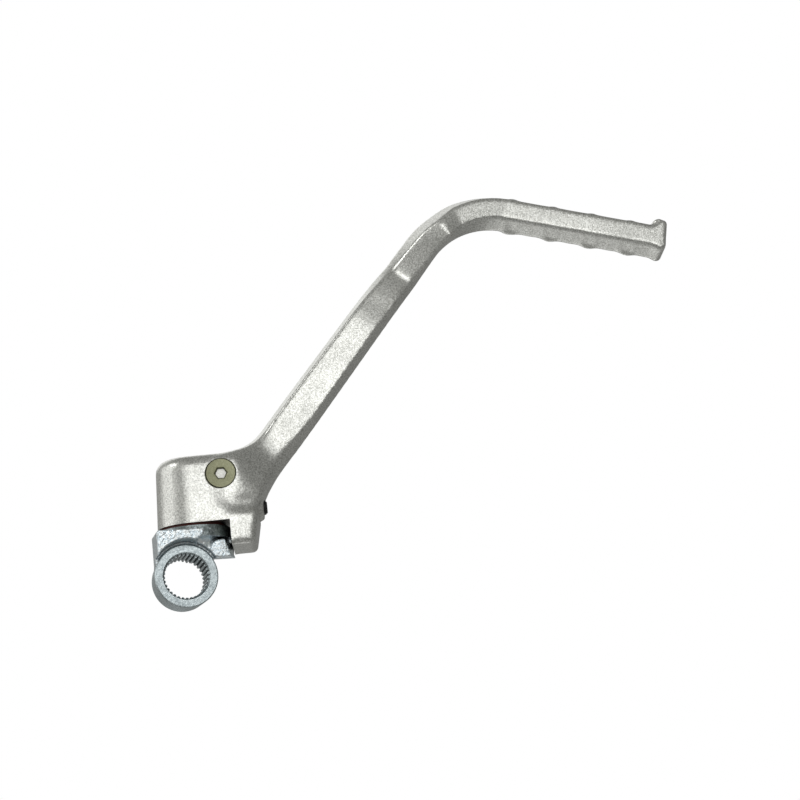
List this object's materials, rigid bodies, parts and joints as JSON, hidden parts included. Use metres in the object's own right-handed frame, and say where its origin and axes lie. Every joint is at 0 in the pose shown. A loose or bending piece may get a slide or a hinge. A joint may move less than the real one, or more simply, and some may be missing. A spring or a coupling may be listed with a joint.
{
  "type": "kick start lever",
  "caption": "Folding kick start lever: a forged arm with a bend and a ribbed foot peg swivels on a knuckle with a serrated shaft bore, held by a screw and a ball detent.",
  "frame": {"origin": "centre of the serrated bore, midway along its length", "axes": "+Y along the kick shaft towards the engine, +Z along the swivel journal towards the arm, +X towards the side the folded arm leans to"},
  "size_m": [0.2251, 0.0666, 0.164],
  "materials": {
    "lever_aluminium": "bead-blasted satin",
    "knuckle_zinc": "zinc plated over a rough forged skin, hub faces machined",
    "screw_olive": "olive plated, satin",
    "plug_black": "black oxide",
    "spring_steel": "bright drawn wire",
    "ball_steel": "polished",
    "seal_rubber": "matt dark red"
  },
  "bodies": {
    "knuckle_body": {"knuckle": "knuckle_zinc", "seal_ring": "seal_rubber"},
    "lever_body": {"lever": "lever_aluminium", "retaining_screw": "screw_olive", "detent_plug": "plug_black", "detent_spring": "spring_steel"},
    "ball_body": {"detent_ball": "ball_steel"}
  },
  "joints": [
    {"name": "lever_swing", "type": "hinge", "parent": "knuckle_body", "child": "lever_body", "pos_m": [0.0055, 0, 0.03], "axis": [0, 0, -1], "range_deg": [0, 78]},
    {"name": "ball_press", "type": "slide", "parent": "lever_body", "child": "ball_body", "axis": [-0.9781, 0.2079, 0], "range_m": [0, 0.0006], "stiffness_N_per_m": 4000, "springref_m": 0.0006}
  ]
}
